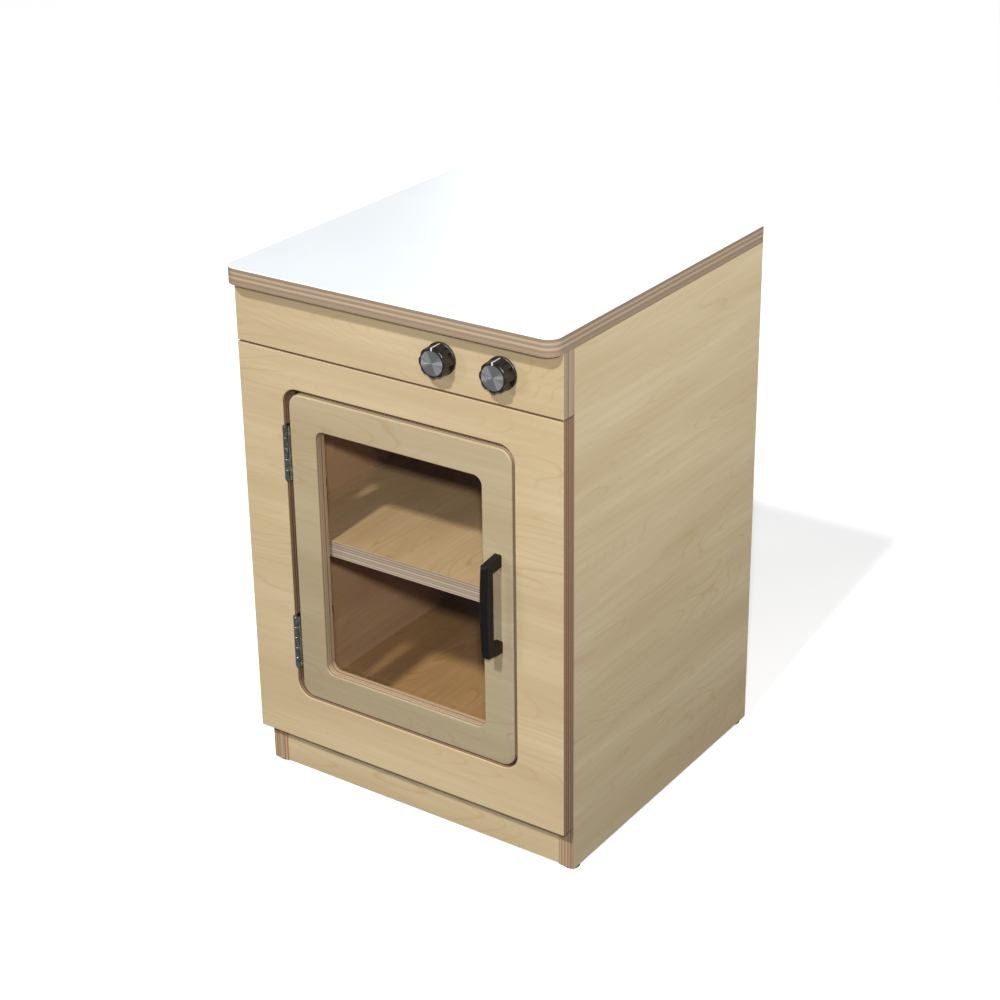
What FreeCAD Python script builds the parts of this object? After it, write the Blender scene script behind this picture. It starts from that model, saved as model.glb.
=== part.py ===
import FreeCAD, Part
import os
import re
import sys

import Sketcher

# A toy cooker cabinet in plywood, in millimetres. The front faces -Y, +X is to its right and the
# origin is at the middle of the box round the whole object, on the ground.

DRIVING = {
    "width": 400,
    "depth": 388,
    "height": 596,
    "glide": 3,
    "glide_radius": 9,
    "board": 18,
    "front_sheet": 19,
    "laminate": 1,
    "back_sheet": 6,
    "back_rebate": 9,
    "overhang": 17,
    "worktop_corner": 15,
    "arris": 1.5,
    "kick_height": 51,
    "kick_recess": 21,
    "seam_low": 508.8,
    "seam_gap": 2,
    "opening_half": 143.8,
    "opening_low": 108,
    "opening_high": 469.7,
    "opening_corner": 18,
    "door_gap_low": 3,
    "door_gap_high": 4.5,
    "door_gap_left": 7.6,
    "door_gap_right": 3.1,
    "door_corner": 15,
    "door_arris": 2,
    "window_left": -102.3,
    "window_right": 104.6,
    "window_low": 146,
    "window_high": 429.4,
    "window_corner": 9.8,
    "pane_recess": 14,
    "pane_sheet": 3,
    "pane_lap": 9,
    "shelf_level": 279,
    "ceiling_level": 500,
    "rail_width": 60,
    "hinge_length": 61,
    "barrel_radius": 2.5,
    "barrel_proud": 2.5,
    "barrel_ease": 0.4,
    "pin_radius": 1.1,
    "leaf_sheet": 1.8,
    "leaf_depth": 16,
    "hinge_low": 175,
    "hinge_high": 397.3,
    "running": 0.05,
    "knob_first": 61,
    "knob_second": 131.5,
    "knob_level": 544.4,
    "knob_tall": 16.5,
    "knob_gap": 0.6,
    "knob_front_radius": 15.7,
    "knob_base_radius": 17,
    "skirt_tall": 2.4,
    "scallop_radius": 7,
    "scallop_ring": 21.1,
    "cap_radius": 12.8,
    "cap_sheet": 0.9,
    "pointer_wide": 1.8,
    "spindle_radius": 3,
    "bushing_radius": 5,
    "flange_radius": 7,
    "flange_tall": 1.2,
    "handle_reach": 28.3,
    "handle_bow": 2.7,
    "handle_right": 127.9,
    "handle_wide": 9.2,
    "handle_bar": 13,
    "handle_foot": 13.8,
    "handle_tall": 110,
    "handle_low": 241.2,
    "handle_taper": 3.6,
    "handle_bevel": 2.3,
    "dowel_radius": 4,
    "screw_radius": 1.5,
}

# Planes worked out from the driving sizes. Heights are from the ground.
PLANES = {
    "half": "width / 2",
    "inner": "half - board",
    "face": "(handle_reach - depth) / 2",
    "behind": "face + front_sheet",
    "rear": "face + depth",
    "back_face": "rear - back_sheet",
    "base": "glide",
    "top": "base + height",
    "deck": "top - board - laminate",
    "frame_low": "base + kick_height",
    "shelf_low": "base + shelf_level",
    "ceiling_low": "base + ceiling_level",
    "seam": "base + seam_low",
    "door_left": "door_gap_left - opening_half",
    "door_right": "opening_half - door_gap_right",
    "door_low": "base + opening_low + door_gap_low",
    "door_high": "base + opening_high - door_gap_high",
    "door_back": "face + board",
    "pin_x": "door_gap_left / 2 - opening_half",
    "pin_y": "face - barrel_proud",
    "knob_face": "face - knob_gap - knob_tall",
    "handle_x": "handle_right - handle_wide / 2",
    "catch_low": "door_high - 11",
    "bow_half": "handle_tall / 2 - handle_taper",
    "bow_radius": "(bow_half * bow_half + handle_bow * handle_bow) / (2 * handle_bow)",
}

doc = FreeCAD.newDocument("toy_cooker")
dims = doc.addObject("Spreadsheet::Sheet", "dims")
NODES = {}


def fill_sheet():
    for row, (alias, size) in enumerate(DRIVING.items(), 1):
        dims.set(f"A{row}", alias)
        dims.set(f"B{row}", str(size))
        dims.setAlias(f"B{row}", alias)
    doc.recompute()


def expr(text):
    """An expression in the words of the two tables, written for FreeCAD."""

    def swap(match):
        word = match.group(0)
        if word in PLANES:
            return "(" + expr(PLANES[word]) + ")"
        return "dims." + word if word in DRIVING else word

    return re.sub(r"[a-z_]+", swap, str(text))


def value(text):
    return float(dims.evalExpression(expr(text)))


def bind(thing, **properties):
    for name, text in properties.items():
        thing.setExpression(name.replace("__", "."), expr(text))


def place(thing, at, turn=None):
    """Puts a thing at three expressions, turned from +Z to one of the row's axes."""
    thing.Placement = FreeCAD.Placement(FreeCAD.Vector(), turn or FreeCAD.Rotation())
    x, y, z = at
    bind(thing, Placement__Base__x=x, Placement__Base__y=y, Placement__Base__z=z)


TURNS = {
    "+x": FreeCAD.Rotation(FreeCAD.Vector(0, 1, 0), 90),
    "-x": FreeCAD.Rotation(FreeCAD.Vector(0, 1, 0), -90),
    "+y": FreeCAD.Rotation(FreeCAD.Vector(1, 0, 0), -90),
    "-y": FreeCAD.Rotation(FreeCAD.Vector(1, 0, 0), 90),
    "+z": FreeCAD.Rotation(),
}


def between(sign, near_end, far_end):
    """Two planes at the same distances from the middle, low one first, on the side sign gives."""
    ends = (f"{sign} * ({near_end})", f"{sign} * ({far_end})")
    return ends if sign > 0 else ends[::-1]


def block(name, x, y, z):
    """A box between two planes each way."""
    box = doc.addObject("Part::Box", name)
    place(box, (x[0], y[0], z[0]))
    for side, (low, high) in (("Length", x), ("Width", y), ("Height", z)):
        bind(box, **{side: f"({high}) - ({low})"})
    return box


def rod(name, way, radius, length, at):
    cylinder = doc.addObject("Part::Cylinder", name)
    place(cylinder, at, TURNS[way])
    bind(cylinder, Radius=radius, Height=length)
    return cylinder


def taper(name, way, start, end, length, at):
    cone = doc.addObject("Part::Cone", name)
    place(cone, at, TURNS[way])
    bind(cone, Radius1=start, Radius2=end, Height=length)
    return cone


def fuse(name, parts):
    joined = doc.addObject("Part::MultiFuse", name)
    joined.Shapes = parts
    return joined


def cut(name, solid, tools):
    cutting = doc.addObject("Part::Cut", name)
    cutting.Base = solid
    cutting.Tool = tools[0] if len(tools) == 1 else fuse(name + "_tools", tools)
    return cutting


def group(name, parts):
    """Separate like pieces that share one node."""
    together = doc.addObject("Part::Compound", name)
    together.Links = parts
    return together


def node(name, thing):
    thing.Label = name
    NODES[name] = thing


# Sketches and features of the bodies


def body_at(name, at):
    body = doc.addObject("PartDesign::Body", name)
    place(body, at)
    return body


def sketch_on(body, name, role, lift="0"):
    """A sketch on one of the body's own origin planes, lifted along the plane's normal."""
    sketch = body.newObject("Sketcher::SketchObject", body.Name + "_" + name)
    plane = next(p for p in body.Origin.OriginFeatures if p.Role == role)
    sketch.AttachmentSupport = [(plane, "")]
    sketch.MapMode = "FlatFace"
    bind(sketch, AttachmentOffset__Base__z=lift)
    return sketch


def fix_point(sketch, item, end, x, y):
    """Holds an end of a sketch item at two expressions from the sketch's origin."""
    for kind, axis, text in (("DistanceX", -2, x), ("DistanceY", -1, y)):
        if text == "0":
            sketch.addConstraint(Sketcher.Constraint("PointOnObject", item, end, axis))
            continue
        index = sketch.addConstraint(Sketcher.Constraint(kind, -1, 1, item, end, value(text)))
        sketch.setExpression(f"Constraints[{index}]", expr(text))


def polygon(sketch, points, bow=None):
    """Lines round a list of corners, each held by its own two sizes.

    With bow, a rise and a radius, the side back to the first corner is an arc that swells outwards.
    """
    corners = [FreeCAD.Vector(value(x), value(y), 0) for x, y in points]
    first = sketch.GeometryCount
    count = len(corners)
    for i in range(count - 1):
        sketch.addGeometry(Part.LineSegment(corners[i], corners[i + 1]))
    if bow:
        rise, radius = bow
        middle = (corners[-1] + corners[0]) * 0.5 - FreeCAD.Vector(value(rise), 0, 0)
        arc = sketch.addGeometry(Part.Arc(corners[-1], middle, corners[0]))
        index = sketch.addConstraint(Sketcher.Constraint("Radius", arc, value(radius)))
        sketch.setExpression(f"Constraints[{index}]", expr(radius))
    else:
        sketch.addGeometry(Part.LineSegment(corners[-1], corners[0]))
    for i in range(count):
        sketch.addConstraint(
            Sketcher.Constraint("Coincident", first + i, 2, first + (i + 1) % count, 1)
        )
        fix_point(sketch, first + i, 1, *points[i])


def rectangle(sketch, x, y):
    polygon(sketch, [(x[0], y[0]), (x[1], y[0]), (x[1], y[1]), (x[0], y[1])])


def circle(sketch, x, y, radius):
    centre = FreeCAD.Vector(value(x), value(y), 0)
    item = sketch.addGeometry(Part.Circle(centre, FreeCAD.Vector(0, 0, 1), value(radius)))
    index = sketch.addConstraint(Sketcher.Constraint("Radius", item, value(radius)))
    sketch.setExpression(f"Constraints[{index}]", expr(radius))
    fix_point(sketch, item, 3, x, y)


def rounded_rectangle(sketch, x, y, radius):
    """Four lines and four equal corner arcs, tangent end to end."""
    left, right, low, high, r = (value(t) for t in (x[0], x[1], y[0], y[1], radius))
    up = FreeCAD.Vector(0, 0, 1)
    lines = [(left + r, low, right - r, low), (right, low + r, right, high - r)]
    lines += [(right - r, high, left + r, high), (left, high - r, left, low + r)]
    centres = [(right - r, low + r), (right - r, high - r), (left + r, high - r), (left + r, low + r)]
    first = sketch.GeometryCount
    for a, b, c, d in lines:
        sketch.addGeometry(Part.LineSegment(FreeCAD.Vector(a, b, 0), FreeCAD.Vector(c, d, 0)))
    for quarter, (a, b) in enumerate(centres):
        round_part = Part.Circle(FreeCAD.Vector(a, b, 0), up, r)
        start = (quarter - 1) * 1.5707963267948966
        sketch.addGeometry(Part.ArcOfCircle(round_part, start, start + 1.5707963267948966))
    for i in range(4):
        line, arc, following = first + i, first + 4 + i, first + (i + 1) % 4
        sketch.addConstraint(Sketcher.Constraint("Tangent", line, 2, arc, 1))
        sketch.addConstraint(Sketcher.Constraint("Tangent", arc, 2, following, 1))
        sketch.addConstraint(Sketcher.Constraint("Horizontal" if i % 2 == 0 else "Vertical", line))
    for i in range(3):
        sketch.addConstraint(Sketcher.Constraint("Equal", first + 4 + i, first + 5 + i))
    index = sketch.addConstraint(Sketcher.Constraint("Radius", first + 4, r))
    sketch.setExpression(f"Constraints[{index}]", expr(radius))
    sides = (("DistanceY", -1, 0, y[0]), ("DistanceX", -2, 1, x[1]))
    sides += (("DistanceY", -1, 2, y[1]), ("DistanceX", -2, 3, x[0]))
    for kind, axis, line, text in sides:
        if text == "0":
            sketch.addConstraint(Sketcher.Constraint("PointOnObject", first + line, 1, axis))
            continue
        index = sketch.addConstraint(Sketcher.Constraint(kind, -1, 1, first + line, 1, value(text)))
        sketch.setExpression(f"Constraints[{index}]", expr(text))


def pad(body, sketch, length, reverse):
    feature = body.newObject("PartDesign::Pad", sketch.Name + "_pad")
    feature.Profile = sketch
    feature.Reversed = reverse
    bind(feature, Length=length)
    doc.recompute()


def pocket(body, sketch, length, reverse):
    """Cuts a sketch into the body, and makes sure that it cut something."""
    before = body.Shape.Volume
    feature = body.newObject("PartDesign::Pocket", sketch.Name + "_pocket")
    feature.Profile = sketch
    feature.Reversed = reverse
    bind(feature, Length=length)
    doc.recompute()
    if body.Shape.Volume > before - 1e-3:
        raise RuntimeError(feature.Name + " cuts nothing")
    return feature


def ease(body, kind, size, chosen):
    """A Fillet or Chamfer on the edges of the body so far that chosen picks."""
    source = body.Tip
    edges = enumerate(source.Shape.Edges, 1)
    names = [f"Edge{i}" for i, edge in edges if chosen(edge.BoundBox)]
    feature = body.newObject("PartDesign::" + kind, f"{body.Name}_{kind}_{len(body.Group)}")
    feature.Base = (source, names)
    bind(feature, **{"Radius" if kind == "Fillet" else "Size": size})
    doc.recompute()


def near(a, b):
    return abs(a - b) < 1e-3


def on_front(box):
    return near(box.YMin, 0) and near(box.YMax, 0)


def turned(body, name, profile):
    """A solid of revolution about the body's own Y axis, from corners (radius, place along it)."""
    sketch = sketch_on(body, name, "XY_Plane")
    polygon(sketch, profile)
    feature = body.newObject("PartDesign::Revolution", sketch.Name + "_turn")
    feature.Profile = sketch
    feature.ReferenceAxis = (sketch, ["V_Axis"])
    feature.Angle = 360
    doc.recompute()


# Carcass

SIDES = {"left": -1, "right": 1}
DOWEL_ROWS = ("behind + 60", "behind + 180", "behind + 300")


def dowels_between_sides():
    """Centres (y, z) of the dowels that pin the boards and rails to each side."""
    levels = ("frame_low", "shelf_low", "ceiling_low")
    rails = ("behind + rail_width / 2", "back_face - rail_width / 2")
    places = [(y, f"{z} + board / 2") for z in levels for y in DOWEL_ROWS]
    places += [(y, "deck - board / 2") for y in rails]
    places.append(("face + kick_recess + board / 2", "base + kick_height / 2"))
    return places


def side_dowel_rods(tag, extra):
    rods = []
    for side, sign in SIDES.items():
        for i, (y, z) in enumerate(dowels_between_sides()):
            name = f"{tag}_{side}_{i}"
            way = "+x" if sign > 0 else "-x"
            start = f"{sign} * (inner - 20 - {extra} * 10)"
            rods.append(rod(name, way, f"dowel_radius + {extra}", f"30 + {extra} * 20", (start, y, z)))
    return rods


def face_dowel_rods(tag, extra):
    """Dowels along Y that pin the two front pieces to the sides' front edges."""
    rods = []
    heights = ["base + 85", "base + 210", "base + 340", "base + 470", "knob_level + base"]
    for side, sign in SIDES.items():
        for i, z in enumerate(heights):
            at = (f"{sign} * (half - board / 2)", f"behind - 12 - {extra} * 10", z)
            rods.append(rod(f"{tag}_{side}_{i}", "+y", f"3 + {extra}", f"24 + {extra} * 20", at))
    return rods


def back_screw_rods(tag, extra):
    rods = []
    for level, z in enumerate(("frame_low", "shelf_low", "ceiling_low")):
        for i, x in enumerate((-120, 0, 120)):
            at = (str(x), f"rear - 20 - {extra} * 10", f"{z} + board / 2")
            name = f"{tag}_{level}_{i}"
            rods.append(rod(name, "+y", f"screw_radius + {extra}", f"20 + {extra} * 10", at))
    return rods


def worktop_screw_rods(tag, extra):
    rods = []
    for i, y in enumerate(("behind + rail_width / 2", "back_face - rail_width / 2")):
        for j, x in enumerate((-110, 110)):
            at = (str(x), y, f"deck - board - {extra} * 10")
            name = f"{tag}_{i}_{j}"
            rods.append(rod(name, "+z", f"2 + {extra}", f"board + 12 + {extra} * 20", at))
    return rods


def make_carcass():
    for side, sign in SIDES.items():
        x = between(sign, "inner", "half")
        wall = block(f"{side}_blank", x, ("behind", "rear"), ("base", "deck"))
        rebate_x = between(sign, "inner - 1", "inner + back_rebate")
        rebate = block(f"{side}_rebate", rebate_x, ("back_face", "rear + 1"), ("frame_low", "deck + 1"))
        holes = side_dowel_rods(f"{side}_hole", "running") + face_dowel_rods(f"{side}_face_hole", "running")
        node(f"{side}_side", cut(f"{side}_side", wall, [rebate] + holes))
    inside = ("-inner", "inner")
    boards = {
        "cabinet_floor": (("behind", "back_face"), ("frame_low", "frame_low + board")),
        "oven_shelf": (("behind", "back_face"), ("shelf_low", "shelf_low + board")),
        "oven_ceiling": (("behind", "back_face"), ("ceiling_low", "ceiling_low + board")),
        "front_rail": (("behind", "behind + rail_width"), ("deck - board", "deck")),
        "rear_rail": (("back_face - rail_width", "back_face"), ("deck - board", "deck")),
        "toe_kick": (("face + kick_recess", "face + kick_recess + board"), ("base", "frame_low")),
    }
    for name, (y, z) in boards.items():
        blank = block(name + "_blank", inside, y, z)
        holes = side_dowel_rods(name + "_hole", "running") + back_screw_rods(name + "_bore", "running")
        holes += worktop_screw_rods(name + "_up", "running")
        node(name, cut(name, blank, holes))
    edge = "inner + back_rebate"
    panel = block("back_blank", (f"-({edge})", edge), ("back_face", "rear"), ("frame_low", "deck"))
    node("back_panel", cut("back_panel", panel, back_screw_rods("back_hole", "running")))
    node("side_dowels", group("side_dowels", side_dowel_rods("side_dowel", "0")))
    node("face_dowels", group("face_dowels", face_dowel_rods("face_dowel", "0")))
    node("back_screws", group("back_screws", back_screw_rods("back_screw", "0")))
    node("worktop_screws", group("worktop_screws", worktop_screw_rods("worktop_screw", "0")))


def make_worktop():
    """The ply slab and its laminate: rounded front corners, square at the back, softened edges."""
    layers = {"worktop_core": ("deck", "board"), "worktop_laminate": ("deck + board", "laminate")}
    for name, (low, thick) in layers.items():
        body = body_at(name + "_body", ("-half", "face - overhang", low))
        outline = sketch_on(body, "outline", "XY_Plane")
        rounded_rectangle(outline, ("0", "width"), ("0", "depth + overhang + 20"), "worktop_corner")
        pad(body, outline, thick, False)
        ease(body, "Fillet", "laminate * 0.8", lambda b: near(b.ZMin, b.ZMax) and lip(b, name))
        beyond = ("face + depth", "face + depth + 21")
        up = (f"{low} - 1", f"{low} + {thick} + 1")
        spare = block(name + "_spare", ("-half - 1", "half + 1"), beyond, up)
        holes = worktop_screw_rods(name + "_up", "running") if name == "worktop_core" else []
        node(name, cut(name, body, [spare] + holes))


def lip(box, name):
    """The edge that is softened: under the slab, and over the laminate."""
    return near(box.ZMin, 0) if name == "worktop_core" else near(box.ZMin, value("laminate"))


# Front pieces


def front_board(name, x, z, thick, corner=None):
    """A board whose front is in the face plane. Its corner is the body's own origin."""
    body = body_at(name + "_body", (x[0], "face", z[0]))
    outline = sketch_on(body, "outline", "XZ_Plane")
    across = ("0", f"({x[1]}) - ({x[0]})")
    up = ("0", f"({z[1]}) - ({z[0]})")
    if corner:
        rounded_rectangle(outline, across, up, corner)
    else:
        rectangle(outline, across, up)
    pad(body, outline, thick, True)
    return body


def hinge_screw_places():
    """Centres (z) of the screws in both hinges' leaves."""
    return [f"base + {hinge} + {step}" for hinge in ("hinge_low", "hinge_high") for step in (-23, 0, 23)]


def leaf_screws(tag, side, extra):
    """Countersunk screws through one leaf of both hinges, into the frame or the door."""
    screws = []
    way = "-x" if side == "frame" else "+x"
    sign = -1 if side == "frame" else 1
    start = "leaf_sheet - opening_half" if side == "frame" else "door_left - leaf_sheet"
    for i, z in enumerate(hinge_screw_places()):
        at = (start, "face + 8.5", z)
        head = taper(f"{tag}_head_{i}", way, f"2.6 + {extra}", f"1.4 + {extra}", "leaf_sheet", at)
        tip = (f"{start} + {sign} * leaf_sheet", at[1], z)
        shank = rod(f"{tag}_shank_{i}", way, f"1.4 + {extra}", f"12 + {extra} * 10", tip)
        screws.append(fuse(f"{tag}_{i}", [head, shank]))
    return screws


def catch_screws(tag, extra):
    rods = []
    for i, x in enumerate((100, 120)):
        at = (str(x), "behind + 13", "door_high + 14")
        rods.append(rod(f"{tag}_{i}", "-y", f"screw_radius + {extra}", f"23 + {extra} * 10", at))
    return rods


def make_front_frame():
    body = front_board("front_frame", ("-half", "half"), ("frame_low", "seam"), "front_sheet")
    hole = sketch_on(body, "opening", "XZ_Plane")
    across = ("half - opening_half", "half + opening_half")
    up = ("opening_low - kick_height", "opening_high - kick_height")
    rounded_rectangle(hole, across, up, "opening_corner")
    pocket(body, hole, "front_sheet + 1", False)
    ease(body, "Fillet", "arris", lambda b: on_front(b) and not outer(b))
    ease(body, "Fillet", "arris * 0.6", lambda b: on_front(b) and outer(b))
    tools = face_dowel_rods("frame_hole", "running") + leaf_screws("frame_bore", "frame", "running")
    node("front_frame", cut("front_frame", body, tools + catch_screws("catch_bore", "running")))


def outer(box):
    """Whether an edge of the front frame lies on its outline."""
    upright = near(box.XMax, 0) or near(box.XMin, value("width"))
    level = near(box.ZMax, 0) or near(box.ZMin, value("seam_low - kick_height"))
    return upright or level


def make_control_panel():
    body = front_board("control_panel", ("-half", "half"), ("seam + seam_gap", "deck"), "front_sheet")
    ease(body, "Fillet", "arris * 0.6", on_front)
    holes = face_dowel_rods("control_hole", "running")
    for knob in ("knob_first", "knob_second"):
        at = (knob, "face - 1", "base + knob_level")
        holes.append(rod(knob + "_bore", "+y", "bushing_radius + running", "front_sheet + 2", at))
    node("control_panel", cut("control_panel", body, holes))


def make_door():
    body = front_board("door", ("door_left", "door_right"), ("door_low", "door_high"), "board", "door_corner")
    ease(body, "Fillet", "door_arris", on_front)
    window = sketch_on(body, "window", "XZ_Plane")
    across = ("window_left - (door_left)", "window_right - (door_left)")
    up = ("base + window_low - (door_low)", "base + window_high - (door_low)")
    rounded_rectangle(window, across, up, "window_corner")
    pocket(body, window, "board + 1", False)
    stile, width = value("door_corner"), value("door_right - (door_left)")
    ease(body, "Fillet", "arris", lambda b: on_front(b) and b.XMin > stile and b.XMax < width - stile)
    seat = sketch_on(body, "pane_seat", "XZ_Plane", "-pane_recess")
    wide = (f"{across[0]} - pane_lap", f"{across[1]} + pane_lap")
    tall = (f"{up[0]} - pane_lap", f"{up[1]} + pane_lap")
    rounded_rectangle(seat, wide, tall, "window_corner + pane_lap")
    pocket(body, seat, "board", False)
    tools = leaf_screws("door_bore", "door", "running") + handle_screw_rods("handle_bore", 0.2)
    tools += strike_screw("strike_bore", "running") + clip_screws("clip_bore", "running")
    node("door_panel", cut("door_panel", body, tools))
    at = ("window_left - pane_lap + 0.4", "face + pane_recess", "base + window_low - pane_lap + 0.4")
    pane = body_at("pane_body", at)
    outline = sketch_on(pane, "outline", "XZ_Plane")
    pane_wide = ("0", "window_right - window_left + 2 * pane_lap - 0.8")
    pane_tall = ("0", "window_high - window_low + 2 * pane_lap - 0.8")
    rounded_rectangle(outline, pane_wide, pane_tall, "window_corner + pane_lap - 0.4")
    pad(pane, outline, "pane_sheet", True)
    node("window_pane", pane)


CLIPS = [("window_left", "base + 215", -1), ("window_left", "base + 365", -1)]
CLIPS += [("window_right", "base + 215", 1), ("window_right", "base + 365", 1)]


def clip_screws(tag, extra):
    rods = []
    for i, (x, z, sign) in enumerate(CLIPS):
        at = (f"{x} + {sign} * (pane_lap + 6)", "door_back + 1.6", z)
        rods.append(rod(f"{tag}_{i}", "-y", f"screw_radius + {extra}", f"12 + {extra} * 10", at))
    return rods


def make_pane_clips():
    """Sprung tabs screwed to the back of the door, each with a toe that holds the pane."""
    clips = []
    for i, (x, z, sign) in enumerate(CLIPS):
        up = (f"{z} - 5", f"{z} + 5")
        tab_x = between(sign, f"{sign} * {x} + 3", f"{sign} * {x} + pane_lap + 11")
        toe_x = between(sign, f"{sign} * {x} + 3", f"{sign} * {x} + 7")
        tab = block(f"clip_tab_{i}", tab_x, ("door_back", "door_back + 1"), up)
        toe = block(f"clip_toe_{i}", toe_x, ("face + pane_recess + pane_sheet", "door_back"), up)
        whole = fuse(f"clip_{i}", [tab, toe])
        clips.append(cut(f"pane_clip_{i}", whole, [clip_screws(f"clip_hole_{i}", "running")[i]]))
    node("pane_clips", group("pane_clips", clips))
    screws = []
    for i, shank in enumerate(clip_screws("clip_shank", "0")):
        x, z, sign = CLIPS[i]
        at = (f"{x} + {sign} * (pane_lap + 6)", "door_back + 1", z)
        screws.append(fuse(f"clip_screw_{i}", [shank, taper(f"clip_head_{i}", "+y", "3", "1.8", "1.1", at)]))
    node("pane_clip_screws", group("pane_clip_screws", screws))


def handle_screw_rods(tag, extra):
    rods = []
    for i, z in enumerate(("handle_foot / 2", "handle_tall - handle_foot / 2")):
        at = ("handle_x", "door_back", f"base + handle_low + {z}")
        rods.append(rod(f"{tag}_{i}", "-y", f"2 + {extra}", "board + 11", at))
    return rods


def on_cheek(box):
    """Whether an edge of the handle lies on one of its two flat sides."""
    return near(box.XMin, box.XMax) and (near(box.XMin, 0) or near(box.XMin, value("handle_wide")))


def make_handle():
    """A bar on two feet: bowed outwards, its ends raked and its outer edges bevelled."""
    at = ("handle_right - handle_wide", "face - handle_reach", "base + handle_low")
    body = body_at("handle_body", at)
    side = sketch_on(body, "side", "YZ_Plane")
    lower = [("handle_bow", "handle_taper"), ("handle_reach", "0"), ("handle_reach", "handle_foot")]
    lower += [("handle_bar", "handle_foot + 0.6"), ("handle_bar", "handle_tall - handle_foot - 0.6")]
    upper = [("handle_reach", "handle_tall - handle_foot"), ("handle_reach", "handle_tall")]
    ends = [("handle_bow", "handle_tall - handle_taper")]
    polygon(side, lower + upper + ends, ("handle_bow", "bow_radius"))
    pad(body, side, "handle_wide", False)
    deep, bar = value("handle_reach"), value("handle_bar")
    ease(body, "Chamfer", "handle_bevel", lambda b: b.YMax < bar - 1)
    on_foot = lambda b: on_cheek(b) and b.YMax > bar + 1 and b.YMin < deep - 1
    ease(body, "Chamfer", "handle_bevel * 0.45", on_foot)
    bores = handle_screw_rods("handle_thread", 0.05)
    node("door_handle", cut("door_handle", body, bores))
    screws = []
    for i, shank in enumerate(handle_screw_rods("handle_shank", 0)):
        z = ("handle_foot / 2", "handle_tall - handle_foot / 2")[i]
        at = ("handle_x", "door_back", f"base + handle_low + {z}")
        head = rod(f"handle_head_{i}", "+y", "4", "2.4", at)
        screws.append(fuse(f"handle_screw_{i}", [shank, head]))
    node("handle_screws", group("handle_screws", screws))


# Hinges


def knuckle(name, at, length):
    """One knuckle of a hinge, its two ends eased."""
    x, y, z = at
    trim = "barrel_radius - barrel_ease"
    low = taper(name + "_low", "+z", trim, "barrel_radius", "barrel_ease", at)
    middle_at = (x, y, f"{z} + barrel_ease")
    middle = rod(name + "_middle", "+z", "barrel_radius", f"{length} - 2 * barrel_ease", middle_at)
    high_at = (x, y, f"{z} + {length} - barrel_ease")
    high = taper(name + "_high", "+z", "barrel_radius", trim, "barrel_ease", high_at)
    return fuse(name, [low, middle, high])


def make_hinge(name, level):
    """A butt hinge with five knuckles, three on the frame's leaf and two on the door's."""
    low = f"base + {level} - hinge_length / 2"
    step = "hinge_length / 5"
    leaves = {"frame": ("-opening_half", "leaf_sheet - opening_half", (0, 2, 4), (1, 3))}
    leaves["door"] = ("door_left - leaf_sheet", "door_left", (1, 3), (0, 2, 4))
    for side, (left, right, own, other) in leaves.items():
        tag = f"{name}_{side}"
        plate_z = (low, f"{low} + hinge_length")
        plate = block(tag + "_plate", (left, right), ("pin_y", "pin_y + leaf_depth"), plate_z)
        gaps = []
        for k in other:
            at = ("pin_x", "pin_y", f"{low} + {k} * {step} - 0.15")
            gaps.append(rod(f"{tag}_gap_{k}", "+z", "barrel_radius + 0.4", f"{step} + 0.3", at))
        notched = cut(tag + "_notched", plate, gaps)
        knuckles = []
        for k in own:
            at = ("pin_x", "pin_y", f"{low} + {k} * {step} + 0.15")
            knuckles.append(knuckle(f"{tag}_knuckle_{k}", at, f"{step} - 0.3"))
        leaf = fuse(tag + "_joined", [notched] + knuckles)
        at = ("pin_x", "pin_y", f"{low} - 1")
        bore = rod(tag + "_bore", "+z", "pin_radius + running", "hinge_length + 2", at)
        holes = leaf_screws(tag + "_hole", side, "running")
        node(f"{name}_{side}_leaf", cut(f"{name}_{side}_leaf", leaf, [bore] + holes))
    pin = rod(name + "_shank", "+z", "pin_radius", "hinge_length", ("pin_x", "pin_y", low))
    foot = rod(name + "_foot", "+z", "2", "0.9", ("pin_x", "pin_y", f"{low} - 0.9"))
    head = rod(name + "_head", "+z", "2", "0.9", ("pin_x", "pin_y", f"{low} + hinge_length"))
    node(f"{name}_pin", fuse(f"{name}_pin", [pin, foot, head]))


def make_hinges():
    make_hinge("lower_hinge", "hinge_low")
    make_hinge("upper_hinge", "hinge_high")
    for side in ("frame", "door"):
        screws = leaf_screws(f"{side}_leaf_screw", side, "0")
        node(f"{side}_leaf_screws", group(f"{side}_leaf_screws", screws))


# Magnetic catch


def strike_screw(tag, extra):
    at = ("110", "door_back + 1", "catch_low + 4.5")
    return [rod(tag, "-y", f"screw_radius + {extra}", f"12 + {extra} * 10", at)]


def make_catch():
    """A moulded housing behind the frame's top rail holds a magnet to the door's strike plate."""
    case_z = ("catch_low - 2", "door_high + 21")
    step_z = ("catch_low - 3", "base + opening_high")
    seat_z = ("catch_low + 0.9", "door_high - 1.9")
    case = block("catch_case", ("95", "125"), ("behind", "behind + 13"), case_z)
    step = block("catch_step", ("94", "126"), ("behind - 1", "behind + 0.8"), step_z)
    seat = block("catch_seat", ("99.9", "120.1"), ("behind - 1", "behind + 8"), seat_z)
    holes = catch_screws("catch_hole", "running")
    node("catch_housing", cut("catch_housing", case, [step, seat] + holes))
    magnet_z = ("catch_low + 1", "door_high - 2")
    node("catch_magnet", block("catch_magnet", ("100", "120"), ("behind + 0.3", "behind + 8"), magnet_z))
    node("catch_screws", group("catch_screws", catch_screws("catch_screw", "0")))
    plate_z = ("catch_low - 1", "door_high - 1")
    plate = block("strike_blank", ("98", "122"), ("door_back", "door_back + 0.9"), plate_z)
    node("strike_plate", cut("strike_plate", plate, strike_screw("strike_hole", "running")))
    node("strike_screw", cut("strike_screw", strike_screw("strike_shank", "0")[0], [strike_trim()]))


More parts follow.
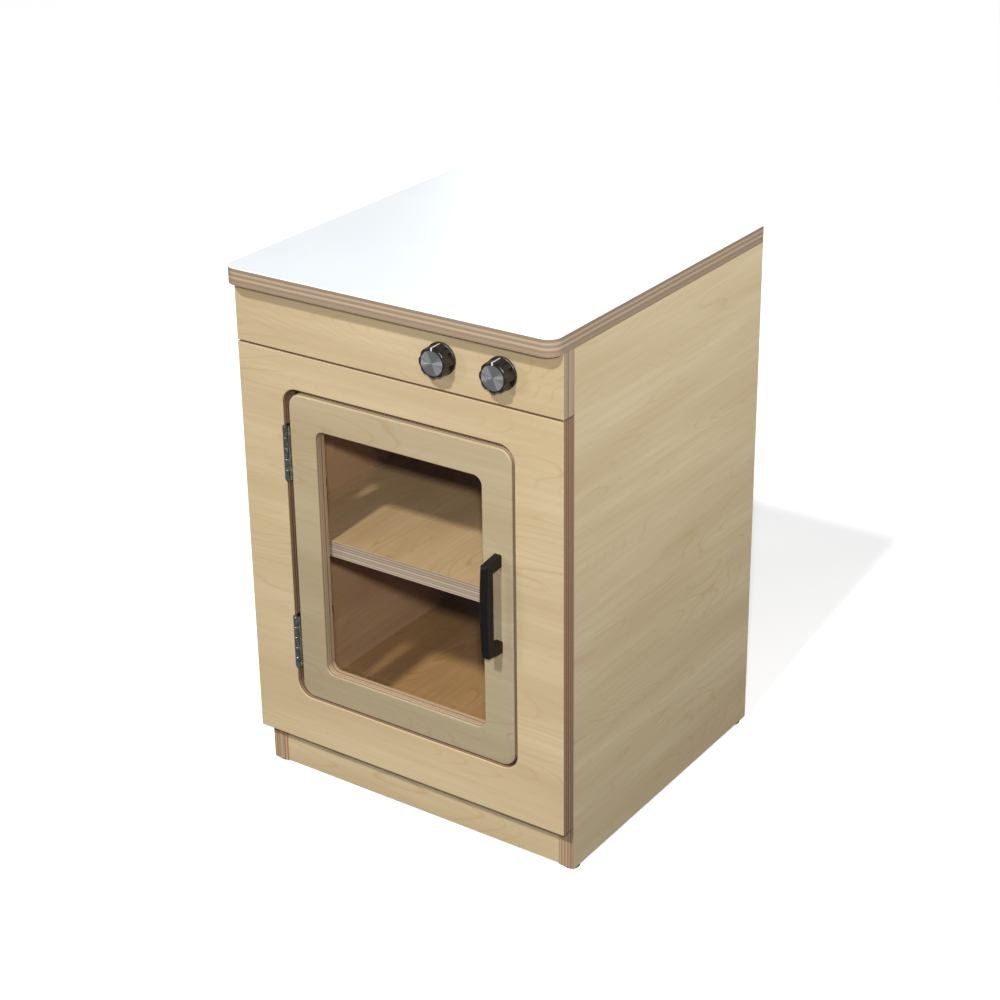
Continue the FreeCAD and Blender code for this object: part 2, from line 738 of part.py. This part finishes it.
def strike_trim():
    """Takes the screw down flush with the strike plate."""
    deep = ("door_back + 0.9", "door_back + 3")
    return block("strike_trim", ("100", "120"), deep, ("catch_low", "door_high"))


# Knobs


def make_knob(side, x):
    centre = "base + knob_level"
    body = body_at(f"{side}_knob_body", (x, "knob_face", centre))
    outer_wall = [("cap_radius", "cap_sheet"), ("cap_radius", "0"), ("knob_front_radius - 0.8", "0")]
    outer_wall += [("knob_front_radius", "0.8"), ("knob_front_radius + 0.6", "knob_tall - skirt_tall")]
    outer_wall += [("knob_base_radius", "knob_tall - skirt_tall + 0.5"), ("knob_base_radius", "knob_tall")]
    hollow = [("13", "knob_tall"), ("13", "knob_tall - 8"), ("6", "knob_tall - 8"), ("6", "knob_tall - 1.2")]
    bore = [("spindle_radius + 0.02", "knob_tall - 1.2"), ("spindle_radius + 0.02", "3"), ("0", "3")]
    turned(body, "profile", [("0", "cap_sheet")] + outer_wall + hollow + bore)
    notch = sketch_on(body, "scallop", "XZ_Plane")
    circle(notch, "scallop_ring * sin(22.5 deg)", "scallop_ring * cos(22.5 deg)", "scallop_radius")
    first = pocket(body, notch, "knob_tall - skirt_tall", False)
    ring = body.newObject("PartDesign::PolarPattern", f"{side}_scallops")
    ring.Originals = [first]
    ring.Axis = (notch, ["N_Axis"])
    ring.Angle = 360
    ring.Occurrences = 8
    body.Tip = ring
    doc.recompute()
    slot_x = (f"{x} - pointer_wide / 2 - 0.02", f"{x} + pointer_wide / 2 + 0.02")
    slot_z = (f"{centre} + cap_radius - 1", f"{centre} + knob_base_radius + 1")
    slot = block(f"{side}_slot", slot_x, ("knob_face - 1", "face - knob_gap - skirt_tall"), slot_z)
    floor_z = (f"{centre}", f"{centre} + knob_front_radius - 0.9")
    keep = block(f"{side}_keep", slot_x, ("knob_face + cap_sheet", "face"), floor_z)
    groove = cut(f"{side}_groove", slot, [keep])
    hole = "face - knob_gap - knob_tall / 2 + 2.5"
    grub_at = (x, hole, f"{centre} - knob_base_radius - 1")
    grub_bore = rod(f"{side}_grub_bore", "+z", "1.55", "knob_base_radius", grub_at)
    node(f"{side}_knob", cut(f"{side}_knob", body, [groove, grub_bore]))
    grub = rod(f"{side}_set_screw", "+z", "1.5", "5", (x, hole, f"{centre} - spindle_radius - 5"))
    node(f"{side}_set_screw", grub)
    cap = rod(f"{side}_cap", "+y", "cap_radius - 0.05", "cap_sheet", (x, "knob_face", centre))
    node(f"{side}_knob_cap", cap)
    make_pointer(side, x, centre)


def make_pointer(side, x, centre):
    """A slim inlaid strip, over the knob's rim and down its side to the skirt."""
    across = (f"{x} - pointer_wide / 2", f"{x} + pointer_wide / 2")
    rim_z = (f"{centre} + cap_radius", f"{centre} + knob_front_radius + 0.3")
    rim = block(f"{side}_rim", across, ("knob_face", "knob_face + cap_sheet"), rim_z)
    wall_z = (f"{centre} + knob_front_radius - 0.9", f"{centre} + knob_front_radius + 0.3")
    wall = block(f"{side}_wall", across, ("knob_face", "face - knob_gap - skirt_tall"), wall_z)
    node(f"{side}_knob_pointer", fuse(f"{side}_pointer", [rim, wall]))


def make_spindle(side, x):
    centre = "base + knob_level"
    body = body_at(f"{side}_spindle_body", (x, "knob_face + 3", centre))
    groove = "knob_tall + knob_gap - 3 + front_sheet + 9.5"
    profile = [("0", "0"), ("spindle_radius", "0"), ("spindle_radius", groove)]
    profile += [("2.4", groove), ("2.4", f"{groove} + 0.8"), ("spindle_radius", f"{groove} + 0.8")]
    profile += [("spindle_radius", f"{groove} + 4"), ("0", f"{groove} + 4")]
    turned(body, "profile", profile)
    node(f"{side}_spindle", body)
    clip_y = "behind + 9.55"
    ring = rod(f"{side}_clip_ring", "+y", "5.5", "0.7", (x, clip_y, centre))
    bore = rod(f"{side}_clip_bore", "+y", "2.42", "1.2", (x, "behind + 9.3", centre))
    mouth_x = (f"{x} - 2", f"{x} + 2")
    mouth = block(f"{side}_clip_mouth", mouth_x, ("behind + 9", "behind + 11"), (f"{centre} - 6", centre))
    node(f"{side}_spindle_clip", cut(f"{side}_clip", ring, [bore, mouth]))


def make_bushings():
    """Threaded bushings through the control panel, each with a washer and nut behind it."""
    washers, nuts = [], []
    for side, x in KNOBS.items():
        centre = "base + knob_level"
        body = body_at(f"{side}_bushing_body", (x, "face - flange_tall", centre))
        bore = "spindle_radius + running"
        profile = [(bore, "0"), ("flange_radius", "0"), ("flange_radius", "flange_tall")]
        profile += [("bushing_radius", "flange_tall"), ("bushing_radius", "flange_tall + front_sheet + 9")]
        turned(body, "profile", profile + [(bore, "flange_tall + front_sheet + 9")])
        node(f"{side}_knob_bushing", body)
        blank = rod(f"{side}_washer_blank", "+y", "9", "1", (x, "behind", centre))
        hole = rod(f"{side}_washer_hole", "+y", "bushing_radius + running", "9", (x, "behind - 1", centre))
        washers.append(cut(f"{side}_washer", blank, [hole]))
        prism = doc.addObject("Part::Prism", f"{side}_nut_blank")
        prism.Polygon = 6
        place(prism, (x, "behind + 1", centre), TURNS["+y"])
        bind(prism, Circumradius="8.1", Height="4")
        nuts.append(cut(f"{side}_nut", prism, [hole]))
    node("bushing_washers", group("bushing_washers", washers))
    node("bushing_nuts", group("bushing_nuts", nuts))


KNOBS = {"left": "knob_first", "right": "knob_second"}


def make_glides():
    glides, nails = [], []
    for side, sign in SIDES.items():
        for end, y in (("front", "behind + glide_radius + 2"), ("rear", "rear - glide_radius - 5")):
            x = f"{sign} * (half - board / 2)"
            glides.append(rod(f"glide_{side}_{end}", "+z", "glide_radius - 0.3", "glide", (x, y, "0")))
            nails.append(rod(f"nail_{side}_{end}", "+z", "1", "15", (x, y, "1.5")))
    holes = [cut(f"glide_bored_{i}", glide, [nail]) for i, (glide, nail) in enumerate(zip(glides, nails))]
    node("floor_glides", group("floor_glides", holes))
    node("glide_nails", group("glide_nails", nails))
    for side in SIDES:
        wall = NODES[f"{side}_side"]
        wall.Label = f"{side}_side_bored"
        own = [nail for nail in nails if side in nail.Name]
        node(f"{side}_side", cut(f"{side}_side_nailed", wall, own))


def faults():
    """Names of failed objects, and of nodes whose shape is missing or bad."""
    bad = [o.Name for o in doc.Objects if {"Invalid", "Error"} & set(o.State)]
    for name, thing in NODES.items():
        if thing.Shape.isNull() or not thing.Shape.isValid() or thing.Shape.Volume < 1e-3:
            bad.append(name)
    return bad


def main():
    fill_sheet()
    make_carcass()
    make_worktop()
    make_front_frame()
    make_control_panel()
    make_door()
    make_pane_clips()
    make_handle()
    make_hinges()
    make_catch()
    for side, x in KNOBS.items():
        make_knob(side, x)
        make_spindle(side, x)
    make_bushings()
    make_glides()
    doc.recompute()
    bad = faults()
    if bad:
        print("failed:", ", ".join(bad))
        sys.exit(1)
    os.makedirs("parts", exist_ok=True)
    for name, thing in NODES.items():
        thing.Shape.exportStep(f"parts/{name}.step")
    print(len(NODES), "nodes written")


main()
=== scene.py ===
import bpy
import math

from mathutils import Euler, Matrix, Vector


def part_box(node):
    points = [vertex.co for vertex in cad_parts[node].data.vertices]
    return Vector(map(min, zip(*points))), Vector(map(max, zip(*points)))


# A toy cooker in maple ply with a white worktop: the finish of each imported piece, the studio and
# the camera. Lengths are in metres and the front faces -Y.

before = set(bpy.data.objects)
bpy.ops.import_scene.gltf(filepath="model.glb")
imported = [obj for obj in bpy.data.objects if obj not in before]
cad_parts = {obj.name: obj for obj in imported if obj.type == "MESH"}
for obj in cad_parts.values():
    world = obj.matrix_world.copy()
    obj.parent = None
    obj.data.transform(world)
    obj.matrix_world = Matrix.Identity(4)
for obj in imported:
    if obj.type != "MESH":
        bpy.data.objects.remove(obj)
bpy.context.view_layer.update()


# ---------------------------------------------------------------- node helpers


def socket(tree, value, target):
    """Links a socket to a target, or sets the target's own value."""
    if isinstance(value, bpy.types.NodeSocket):
        tree.links.new(value, target)
    else:
        target.default_value = value


def add(tree, kind, out=0, settings=None, **inputs):
    """A node with its settings and inputs, given back as one of its outputs."""
    made = tree.nodes.new(kind)
    for key, value in (settings or {}).items():
        setattr(made, key, value)
    for key, value in inputs.items():
        place = int(key[1:]) if key[0] == "i" and key[1:].isdigit() else key.replace("_", " ")
        socket(tree, value, made.inputs[place])
    return made.outputs[out]


def arithmetic(tree, operation, a, b=0.0):
    return add(tree, "ShaderNodeMath", settings={"operation": operation}, i0=a, i1=b)


def noise(tree, vector, scale, detail=2.0, roughness=0.5):
    return add(tree, "ShaderNodeTexNoise", Vector=vector, Scale=scale, Detail=detail, Roughness=roughness)


def stretched(tree, vector, scale, shift=(0, 0, 0)):
    return add(tree, "ShaderNodeMapping", Vector=vector, Scale=scale, Location=shift)


def ramp(tree, factor, *stops):
    """A smooth ramp through the stops, each a place from 0 to 1 and a grey or a colour."""
    made = tree.nodes.new("ShaderNodeValToRGB")
    tree.links.new(factor, made.inputs[0])
    line = made.color_ramp
    while len(line.elements) < len(stops):
        line.elements.new(0.5)
    for element, (place, shade) in zip(line.elements, stops):
        element.position = place
        element.color = (*shade, 1) if isinstance(shade, tuple) else (shade, shade, shade, 1)
    return made.outputs[0]


def blend(tree, factor, a, b, kind="MIX"):
    made = tree.nodes.new("ShaderNodeMix")
    made.data_type = "RGBA"
    made.blend_type = kind
    for value, place in ((factor, 0), (a, 6), (b, 7)):
        if isinstance(value, tuple):
            value = (*value, 1)
        socket(tree, value, made.inputs[place])
    return made.outputs[2]


def bump(tree, height, depth, strength=1.0):
    return add(tree, "ShaderNodeBump", Height=height, Distance=depth, Strength=strength)


def object_place(tree):
    return add(tree, "ShaderNodeTexCoord", out=3)


def along(tree, vector, axis):
    return add(tree, "ShaderNodeSeparateXYZ", out=axis, Vector=vector)


def material(name):
    """An empty material with a Principled shader, and its tree and shader."""
    made = bpy.data.materials.new(name)
    made.use_nodes = True
    return made, made.node_tree, made.node_tree.nodes["Principled BSDF"]


def finish(tree, shader, colour=None, roughness=None, normal=None, **plain):
    """Sets what a shader takes from nodes, then its plain values."""
    for name, value in (("Base Color", colour), ("Roughness", roughness), ("Normal", normal)):
        if isinstance(value, tuple):
            value = (*value, 1)
        if value is not None:
            socket(tree, value, shader.inputs[name])
    for name, value in plain.items():
        shader.inputs[name.replace("_", " ")].default_value = value


# ---------------------------------------------------------------- materials


def triple(axis, on_axis, off_axis):
    """Three numbers, one of them on the axis and the other on the rest."""
    return tuple(on_axis if i == axis else off_axis for i in range(3))


def maple(name, grain, seed, pale=(0.515, 0.41, 0.25), deep=(0.43, 0.31, 0.165), lines=0.45, painted_falloff=0.0):
    """Maple veneer whose grain runs along one axis: pale streaks, fine fibres and thin growth lines.

    Given a falloff share, the sheet darkens evenly from its head to its foot by that share: painted shade for
    light that weakens towards the floor.
    """
    made, tree, shader = material(name)
    here = object_place(tree)
    shift = (seed * 3.1, seed * 1.7, seed * 2.3)
    wide = noise(tree, stretched(tree, here, triple(grain, 1.6, 13.0), shift), 1.5, 3.0)
    streak = noise(tree, stretched(tree, here, triple(grain, 4.0, 110.0), shift), 1.5, 4.0, 0.6)
    fibre = noise(tree, stretched(tree, here, triple(grain, 30.0, 1400.0), shift), 1.0, 3.0, 0.65)
    field = noise(tree, stretched(tree, here, triple(grain, 1.8, 10.0), shift), 1.3, 1.5, 0.45)
    patch = noise(tree, stretched(tree, here, triple(grain, 4.0, 18.0), shift), 1.7, 2.0)
    rings = arithmetic(tree, "FRACT", arithmetic(tree, "MULTIPLY", field, 30.0))
    line = ramp(tree, rings, (0.0, 0.0), (0.76, 0.0), (0.93, 1.0), (1.0, 0.0))
    fade = ramp(tree, patch, (0.40, 0.0), (0.62, 1.0))
    light = tuple(p * 1.07 for p in pale)
    middle = tuple(p * 0.45 + d * 0.55 for p, d in zip(pale, deep))
    tone = ramp(tree, wide, (0.34, light), (0.66, middle))
    tone = blend(tree, ramp(tree, streak, (0.38, 0.0), (0.75, 0.5)), tone, deep)
    marked = arithmetic(tree, "MULTIPLY", arithmetic(tree, "MULTIPLY", line, fade), lines)
    tone = blend(tree, marked, tone, tuple(d * k for d, k in zip(deep, (0.95, 0.80, 0.62))))
    tone = blend(tree, ramp(tree, fibre, (0.3, 0.0), (0.75, 0.22)), tone, tuple(p * 0.8 for p in pale))
    # Painted shade: the colour darkens towards the foot of the sheet, standing in for light that falls off
    # lower down.
    if painted_falloff:
        height = along(tree, add(tree, "ShaderNodeTexCoord", out=0), 2)
        shade = ramp(tree, height, (0.0, 1.0 - painted_falloff), (1.0, 1.0))
        tone = blend(tree, 1.0, tone, shade, "MULTIPLY")
    gloss = ramp(tree, streak, (0.2, 0.37), (0.8, 0.50))
    finish(tree, shader, tone, gloss, bump(tree, fibre, 0.00005, 0.5), Specular_IOR_Level=0.4)
    return made


def ply_edge(name, stack, seed, ply, pale, deep):
    """The sawn edge of ply whose layers are stacked along one axis, in uneven pale and brown tones."""
    made, tree, shader = material(name)
    here = object_place(tree)
    wander = noise(tree, stretched(tree, here, (9.0, 9.0, 9.0), (seed, seed, seed)), 1.0, 2.0)
    depth = arithmetic(tree, "DIVIDE", along(tree, here, stack), ply)
    depth = arithmetic(tree, "ADD", depth, arithmetic(tree, "MULTIPLY", wander, 0.6))
    layer = arithmetic(tree, "FLOOR", depth)
    inside = arithmetic(tree, "FRACT", depth)
    own = add(
        tree, "ShaderNodeTexWhiteNoise", settings={"noise_dimensions": "1D"},
        W=arithmetic(tree, "ADD", layer, seed * 7.0),
    )
    odd = arithmetic(tree, "MODULO", arithmetic(tree, "ABSOLUTE", layer), 2.0)
    share = arithmetic(tree, "MULTIPLY", odd, 0.35)
    share = arithmetic(tree, "ADD", share, arithmetic(tree, "MULTIPLY", own, 0.6))
    pores = noise(tree, stretched(tree, here, triple(stack, 900.0, 420.0)), 1.0, 3.0, 0.7)
    share = arithmetic(tree, "ADD", share, arithmetic(tree, "MULTIPLY", pores, 0.25))
    tone = ramp(tree, share, (0.1, pale), (0.95, deep))
    glue = ramp(tree, inside, (0.0, 1.0), (0.12, 0.0), (0.9, 0.0), (1.0, 1.0))
    tone = blend(tree, arithmetic(tree, "MULTIPLY", glue, 0.3), tone, tuple(d * 0.7 for d in deep))
    height = arithmetic(tree, "SUBTRACT", pores, glue)
    finish(tree, shader, tone, 0.68, bump(tree, height, 0.00012, 0.6), Specular_IOR_Level=0.25)
    return made


def laminate(name):
    """White high-pressure laminate with a faint texture."""
    made, tree, shader = material(name)
    here = object_place(tree)
    cloud = noise(tree, here, 14.0, 3.0)
    grit = noise(tree, here, 2600.0, 2.0)
    tone = blend(tree, cloud, (0.885, 0.93, 0.965), (0.90, 0.94, 0.97))
    gloss = ramp(tree, cloud, (0.3, 0.33), (0.7, 0.38))
    finish(tree, shader, tone, gloss, bump(tree, grit, 0.00002, 0.4))
    return made


def plastic(name, colour, roughness, grain=900.0, depth=0.00003, level=0.5):
    """Moulded plastic: a satin surface with a fine spark texture and faint handling marks."""
    made, tree, shader = material(name)
    here = object_place(tree)
    spark = noise(tree, here, grain, 3.0, 0.6)
    marks = noise(tree, here, 60.0, 4.0, 0.7)
    rubbed = tuple(c * 1.35 + 0.002 for c in colour)
    tone = blend(tree, ramp(tree, marks, (0.35, 0.0), (0.8, 0.5)), colour, rubbed)
    gloss = ramp(tree, marks, (0.3, roughness - 0.05), (0.75, roughness + 0.1))
    finish(tree, shader, tone, gloss, bump(tree, spark, depth, 0.6), Specular_IOR_Level=level)
    return made


def metal(name, colour, roughness, worn=None, speckle=220.0, metallic=1.0):
    """Metal with mottled roughness, and a second tone where it is worn."""
    made, tree, shader = material(name)
    here = object_place(tree)
    mottle = noise(tree, here, speckle, 4.0, 0.6)
    fine = noise(tree, here, 3000.0, 2.0)
    second = worn or tuple(c * 0.8 for c in colour)
    tone = blend(tree, ramp(tree, mottle, (0.45, 0.0), (0.7, 1.0)), colour, second)
    gloss = ramp(tree, mottle, (0.3, roughness), (0.75, roughness + 0.14))
    finish(tree, shader, tone, gloss, bump(tree, fine, 0.00002, 0.5), Metallic=metallic)
    return made


def spun(name, centre):
    """Aluminium turned on a lathe about an axis along Y: fine rings, and light that fans out."""
    made, tree, shader = material(name)
    here = object_place(tree)
    away = add(tree, "ShaderNodeVectorMath", settings={"operation": "SUBTRACT"}, i0=here, i1=centre)
    flat = add(tree, "ShaderNodeVectorMath", settings={"operation": "MULTIPLY"}, i0=away, i1=(1, 0, 1))
    distance = add(tree, "ShaderNodeVectorMath", out=1, settings={"operation": "LENGTH"}, i0=flat)
    cut = add(
        tree, "ShaderNodeTexNoise", settings={"noise_dimensions": "1D"},
        W=distance, Scale=9000.0, Detail=3.0, Roughness=0.7,
    )
    tangent = add(tree, "ShaderNodeTangent", settings={"direction_type": "RADIAL", "axis": "Y"})
    socket(tree, tangent, shader.inputs["Tangent"])
    tone = ramp(tree, cut, (0.3, (0.70, 0.71, 0.74)), (0.7, (0.94, 0.95, 0.97)))
    gloss = ramp(tree, cut, (0.3, 0.24), (0.7, 0.34))
    finish(tree, shader, tone, gloss, bump(tree, cut, 0.00002, 0.35), Metallic=1.0, Anisotropic=0.85)
    return made


def acrylic(name):
    """A clear sheet: what is behind it shows, and what is in front mirrors in it at a slant."""
    made, tree, shader = material(name)
    here = object_place(tree)
    haze = noise(tree, here, 40.0, 3.0)
    slant = add(tree, "ShaderNodeLayerWeight", out=1, Blend=0.5)
    mirror = arithmetic(tree, "MULTIPLY", arithmetic(tree, "POWER", slant, 4.0), 0.8)
    seen = arithmetic(tree, "ADD", mirror, arithmetic(tree, "MULTIPLY", haze, 0.03))
    socket(tree, seen, shader.inputs["Alpha"])
    gloss = ramp(tree, haze, (0.3, 0.02), (0.8, 0.06))
    tone = ramp(tree, haze, (0.3, (0.93, 0.94, 0.95)), (0.8, (0.97, 0.97, 0.98)))
    finish(tree, shader, tone, gloss, Metallic=1.0)
    return made


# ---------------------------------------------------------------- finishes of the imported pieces


def coat(node, *finishes):
    """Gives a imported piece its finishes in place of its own."""
    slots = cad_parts[node].data.materials
    slots.clear()
    for each in finishes:
        slots.append(each)


def board(node, stack, face, edge, inside=None, inward=0):
    """A sheet of ply: veneer on its two faces and eased arrises, bare layers round its edges.

    The face that looks inward, towards +1 or -1 along the stack, can have its own veneer.
    """
    coat(node, face, edge, *([inside] if inside else []))
    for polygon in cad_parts[node].data.polygons:
        facing = polygon.normal[stack]
        if inside and facing * inward > 0.3:
            polygon.material_index = 2
        else:
            polygon.material_index = 0 if abs(facing) > 0.3 else 1


X, Y, Z = range(3)
FRAME = {}
# The door and the sides darken towards their foot: painted shade for light that falls off lower down.
DOOR = {"pale": (0.43, 0.355, 0.225), "deep": (0.37, 0.275, 0.155), "lines": 0.45, "painted_falloff": 0.22}
SIDE = {"pale": (0.61, 0.505, 0.325), "deep": (0.51, 0.385, 0.215), "painted_falloff": 0.12}
INNER = {"pale": (0.52, 0.37, 0.195), "deep": (0.41, 0.255, 0.115), "lines": 0.7}
OVEN_FLOOR = {"pale": (0.40, 0.235, 0.095), "deep": (0.31, 0.165, 0.06), "lines": 0.7}
LINING = {"pale": (0.54, 0.335, 0.185), "deep": (0.39, 0.225, 0.115), "lines": 0.35}

# Bare edges: thickness of a layer, pale tone and deep tone.
PLAIN_EDGE = (0.0018, (0.50, 0.36, 0.225), (0.26, 0.16, 0.095))
# The front frame's bare layers are darker and redder than the others: painted shade of its deep opening
# reveal.
FRAME_EDGE_PAINTED_SHADE = (0.0018, (0.38, 0.25, 0.155), (0.17, 0.09, 0.055))
STRIPED_EDGE = (0.0018, (0.50, 0.39, 0.27), (0.19, 0.125, 0.085))
DOOR_EDGE = (0.0018, (0.52, 0.38, 0.235), (0.24, 0.15, 0.09))
SHELF_EDGE = (0.0015, (0.50, 0.41, 0.31), (0.25, 0.18, 0.13))
TOP_EDGE = (0.0026, (0.42, 0.325, 0.225), (0.26, 0.185, 0.125))
THIN_EDGE = (0.0012, (0.50, 0.36, 0.225), (0.26, 0.16, 0.095))

# Each board: grain axis, axis its layers are stacked along, seed, veneer and edge.
BOARDS = {
    "front_frame": (X, Y, 1.0, FRAME, FRAME_EDGE_PAINTED_SHADE),
    "control_panel": (X, Y, 2.3, FRAME, STRIPED_EDGE),
    "door_panel": (X, Y, 3.1, DOOR, DOOR_EDGE),
    "left_side": (Y, X, 4.7, SIDE, PLAIN_EDGE),
    "right_side": (Y, X, 5.2, SIDE, PLAIN_EDGE),
    "cabinet_floor": (Y, Z, 6.4, OVEN_FLOOR, PLAIN_EDGE),
    "oven_shelf": (Y, Z, 7.7, INNER, SHELF_EDGE),
    "oven_ceiling": (Y, Z, 8.5, LINING, PLAIN_EDGE),
    "front_rail": (X, Z, 9.6, INNER, PLAIN_EDGE),
    "rear_rail": (X, Z, 10.2, INNER, PLAIN_EDGE),
    "toe_kick": (X, Y, 11.9, FRAME, PLAIN_EDGE),
    "back_panel": (Z, Y, 12.8, INNER, THIN_EDGE),
    "worktop_core": (X, Z, 13.3, SIDE, TOP_EDGE),
}
INWARD = {"left_side": 1, "right_side": -1, "back_panel": -1}


def finish_boards():
    for node, (grain, stack, seed, veneer, edge) in BOARDS.items():
        face = maple(f"{node}_veneer", grain, seed, **veneer)
        layers = ply_edge(f"{node}_edge", stack, seed, *edge)
        lining = None
        if node in INWARD:
            lining = maple(f"{node}_lining", grain, seed + 0.5, **LINING)
        board(node, stack, face, layers, lining, INWARD.get(node, 0))


def finish_hardware():
    beech = maple("beech_dowel", X, 21.0, (0.62, 0.42, 0.25), (0.45, 0.28, 0.15), 0.2)
    zinc = metal("zinc_screw", (0.62, 0.63, 0.62), 0.28, (0.50, 0.48, 0.42))
    steel = metal("dark_hinge", (0.30, 0.32, 0.34), 0.24, (0.62, 0.64, 0.66), 260.0)
    satin = plastic("black_handle", (0.0055, 0.005, 0.0048), 0.40, 1600.0, 0.00002, 0.25)
    nylon = plastic("catch_nylon", (0.62, 0.55, 0.45), 0.45)
    ferrite = plastic("ferrite", (0.03, 0.029, 0.03), 0.55)
    glide = plastic("brown_glide", (0.10, 0.06, 0.035), 0.5)
    clip = plastic("black_clip", (0.02, 0.02, 0.02), 0.45)
    screws = ["back_screws", "worktop_screws", "pane_clip_screws", "handle_screws", "catch_screws"]
    screws += ["strike_screw", "glide_nails"]
    fittings = ["strike_plate", "bushing_washers", "bushing_nuts"]
    for side in ("left", "right"):
        fittings += [f"{side}_spindle", f"{side}_knob_bushing", f"{side}_set_screw", f"{side}_spindle_clip"]
    hinges = ["frame_leaf_screws", "door_leaf_screws"]
    for end in ("upper", "lower"):
        hinges += [f"{end}_hinge_frame_leaf", f"{end}_hinge_door_leaf", f"{end}_hinge_pin"]
    lists = {
        beech: ["side_dowels", "face_dowels"],
        zinc: screws + fittings,
        steel: hinges,
        satin: ["door_handle"],
        nylon: ["catch_housing"],
        ferrite: ["catch_magnet"],
        glide: ["floor_glides"],
        clip: ["pane_clips"],
    }
    for made, nodes in lists.items():
        for node in nodes:
            coat(node, made)


def finish_knobs():
    black = plastic("knob_black", (0.014, 0.0125, 0.010), 0.30, 1800.0, 0.000015)
    silver = metal("pointer_silver", (0.88, 0.88, 0.88), 0.3, metallic=0.35)
    for side in ("left", "right"):
        low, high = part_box(f"{side}_knob_cap")
        centre = tuple((a + b) / 2 for a, b in zip(low, high))
        coat(f"{side}_knob", black)
        coat(f"{side}_knob_cap", spun(f"{side}_cap_spun", centre))
        coat(f"{side}_knob_pointer", silver)


finish_boards()
finish_hardware()
finish_knobs()
coat("worktop_laminate", laminate("white_laminate"))
coat("window_pane", acrylic("clear_acrylic"))


# ---------------------------------------------------------------- studio and camera


def studio_floor():
    """White paper under the object, which keeps its bounce light to itself."""
    side = 14.0
    mesh = bpy.data.meshes.new("studio_floor")
    corners = [(x * side, y * side, 0.0) for x, y in ((-1, -1), (1, -1), (1, 1), (-1, 1))]
    mesh.from_pydata(corners, [], [(0, 1, 2, 3)])
    floor = bpy.data.objects.new("studio_floor", mesh)
    bpy.context.scene.collection.objects.link(floor)
    floor.visible_diffuse = False
    floor.visible_glossy = False
    made, tree, shader = material("studio_paper")
    grain = noise(tree, object_place(tree), 3.0, 2.0)
    tone = blend(tree, grain, (0.93, 0.93, 0.93), (0.95, 0.95, 0.95))
    finish(tree, shader, tone, 0.9, Emission_Color=(1, 1, 1, 1), Emission_Strength=0.31)
    mesh.materials.append(made)


def lamp(name, kind, at, towards, energy, **settings):
    data = bpy.data.lights.new(name, kind)
    data.energy = energy
    for key, value in settings.items():
        setattr(data, key, value)
    made = bpy.data.objects.new(name, data)
    bpy.context.scene.collection.objects.link(made)
    made.location = at
    made.rotation_euler = (Vector(towards) - Vector(at)).to_track_quat("-Z", "Y").to_euler()


def studio_light():
    """A far key lamp in front, one near the camera, soft ones at the right, left and back, and a weak sky."""
    lamp("key", "SUN", (0.14, -2.0, 2.18), (0, 0, 0), 2.4, angle=math.radians(4.0))
    lamp("flash", "AREA", (1.2, -1.73, 1.46), (0, 0, 0.3), 34.0, shape="DISK", size=0.1)
    lamp("right", "AREA", (1.2, 0.3, 0.95), (0.2, 0, 0.4), 8.0, shape="DISK", size=0.7)
    lamp("left", "AREA", (-1.2, -1.6, 1.0), (0, -0.2, 0.3), 7.5, shape="DISK", size=0.5)
    lamp("back", "AREA", (-1.0, 2.0, 1.2), (0, 0.2, 0.4), 6.0, shape="DISK", size=0.8)
    world = bpy.data.worlds.new("studio")
    bpy.context.scene.world = world
    world.use_nodes = True
    sky = world.node_tree.nodes["Background"]
    sky.inputs["Color"].default_value = (1.0, 1.0, 1.0, 1.0)
    sky.inputs["Strength"].default_value = 0.16


def camera():
    data = bpy.data.cameras.new("camera")
    data.lens = 77.33
    data.shift_x = 0.0416
    data.shift_y = -0.0549
    made = bpy.data.objects.new("camera", data)
    bpy.context.scene.collection.objects.link(made)
    made.location = (1.2006, -1.7313, 1.2979)
    made.rotation_euler = Euler([math.radians(a) for a in (66.3679, 1.1209, 35.3871)])
    bpy.context.scene.camera = made


studio_floor()
studio_light()
camera()
bpy.context.scene.view_settings.view_transform = "Standard"
